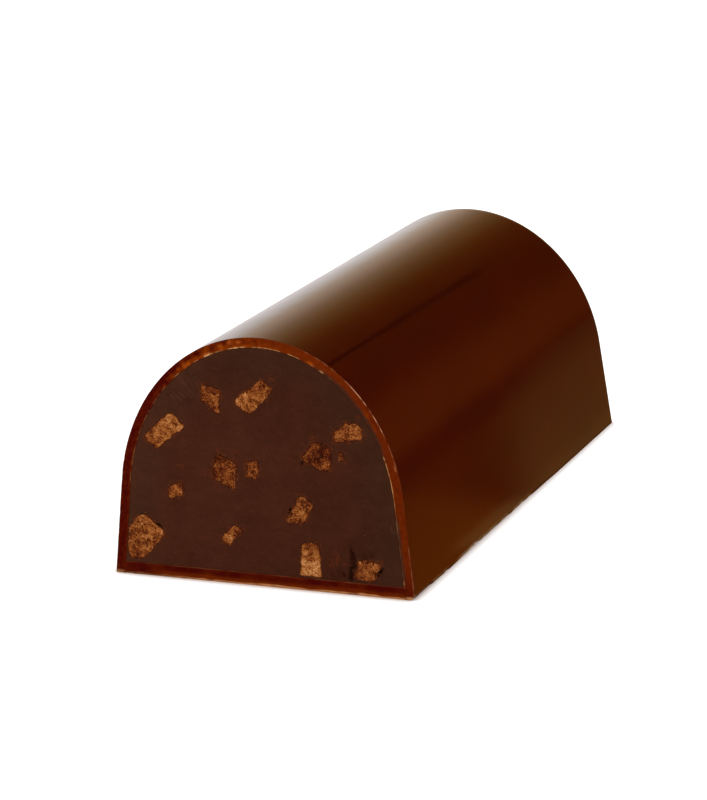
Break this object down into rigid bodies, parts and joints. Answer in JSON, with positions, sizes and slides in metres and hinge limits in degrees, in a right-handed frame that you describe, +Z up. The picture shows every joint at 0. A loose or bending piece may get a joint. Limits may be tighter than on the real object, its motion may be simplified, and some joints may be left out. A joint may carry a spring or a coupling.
{
  "type": "filled nougat bar",
  "caption": "Cut length of half-round nougat bar: moulded dark chocolate shell, truffle filling with crisp biscuit pieces, and a poured chocolate base.",
  "frame": {"origin": "middle of the footprint, on the flat base", "axes": "+Z up from the base to the crown, +Y from the cut face to the closed moulded end, +X to the right when facing the cut face along +Y"},
  "size_m": [0.05, 0.109, 0.0396],
  "materials": {
    "shell_chocolate": "tempered dark chocolate, glossy from the mould",
    "base_chocolate": "poured dark chocolate, satin, with a scraped edge",
    "truffle": "firm chocolate truffle with a matt knife-cut face",
    "biscuit": "crisp porous biscuit, matt"
  },
  "bodies": {
    "root": {"moulded_shell": "shell_chocolate", "base_layer": "base_chocolate", "truffle_filling": "truffle", "biscuit_01": "biscuit", "biscuit_02": "biscuit", "biscuit_03": "biscuit", "biscuit_04": "biscuit", "biscuit_05": "biscuit", "biscuit_06": "biscuit", "biscuit_07": "biscuit", "biscuit_08": "biscuit", "biscuit_09": "biscuit", "biscuit_10": "biscuit", "biscuit_11": "biscuit", "biscuit_12": "biscuit", "biscuit_13": "biscuit", "biscuit_14": "biscuit"}
  },
  "joints": []
}
